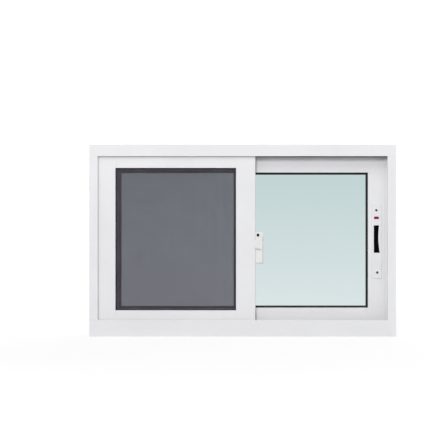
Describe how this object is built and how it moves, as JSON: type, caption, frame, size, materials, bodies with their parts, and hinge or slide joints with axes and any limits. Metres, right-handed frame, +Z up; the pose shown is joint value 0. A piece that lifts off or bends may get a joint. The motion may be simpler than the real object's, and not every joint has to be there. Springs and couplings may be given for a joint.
{
  "type": "horizontal sliding window",
  "caption": "White aluminium horizontal sliding window with glazed sashes, a sliding insect screen and flush pull locks.",
  "frame": {"origin": "middle of the sill's underside", "axes": "+X along the sill to the right seen from the room, +Y from the room to the outside, +Z up"},
  "size_m": [0.8, 0.1, 0.5],
  "materials": {
    "white_coating": "semi-gloss powder coat",
    "green_glass": "clear, faint green",
    "black_gasket": "matt",
    "insect_mesh": "coated fibre, dark grey",
    "wheel_plastic": "satin",
    "guide_plastic": "satin",
    "lock_white": "smooth coat",
    "recess_black": "matt",
    "indicator_red": "gloss",
    "keeper_steel": "brushed",
    "pull_white": "gloss"
  },
  "bodies": {
    "frame": {"frame_head": "white_coating", "frame_sill": "white_coating", "left_jamb": "white_coating", "right_jamb": "white_coating", "jamb_buffers": "black_gasket", "lock_keepers": "keeper_steel"},
    "right_sash": {"right_sash_top_rail": "white_coating", "right_sash_bottom_rail": "white_coating", "right_sash_lock_stile": "white_coating", "right_sash_meeting_stile": "white_coating", "right_sash_glass": "green_glass", "right_sash_gaskets": "black_gasket", "right_sash_rollers": "wheel_plastic", "right_sash_guides": "guide_plastic", "right_lock_plate": "lock_white", "right_lock_cup": "recess_black", "right_lock_indicator": "indicator_red"},
    "left_sash": {"left_sash_top_rail": "white_coating", "left_sash_bottom_rail": "white_coating", "left_sash_lock_stile": "white_coating", "left_sash_meeting_stile": "white_coating", "left_sash_glass": "green_glass", "left_sash_gaskets": "black_gasket", "left_sash_rollers": "wheel_plastic", "left_sash_guides": "guide_plastic", "left_lock_plate": "lock_white", "left_lock_cup": "recess_black", "left_lock_indicator": "indicator_red"},
    "screen": {"screen_top_rail": "white_coating", "screen_bottom_rail": "white_coating", "screen_left_stile": "white_coating", "screen_right_stile": "white_coating", "screen_mesh": "insect_mesh", "screen_spline": "black_gasket", "screen_rollers": "wheel_plastic", "screen_guides": "guide_plastic", "screen_pull": "pull_white"}
  },
  "joints": [
    {"name": "right_sash_slide", "type": "slide", "parent": "frame", "child": "right_sash", "axis": [-1, 0, 0], "range_m": [0, 0.36]},
    {"name": "left_sash_slide", "type": "slide", "parent": "frame", "child": "left_sash", "axis": [1, 0, 0], "range_m": [0, 0.36]},
    {"name": "screen_slide", "type": "slide", "parent": "frame", "child": "screen", "axis": [1, 0, 0], "range_m": [0, 0.339]}
  ]
}
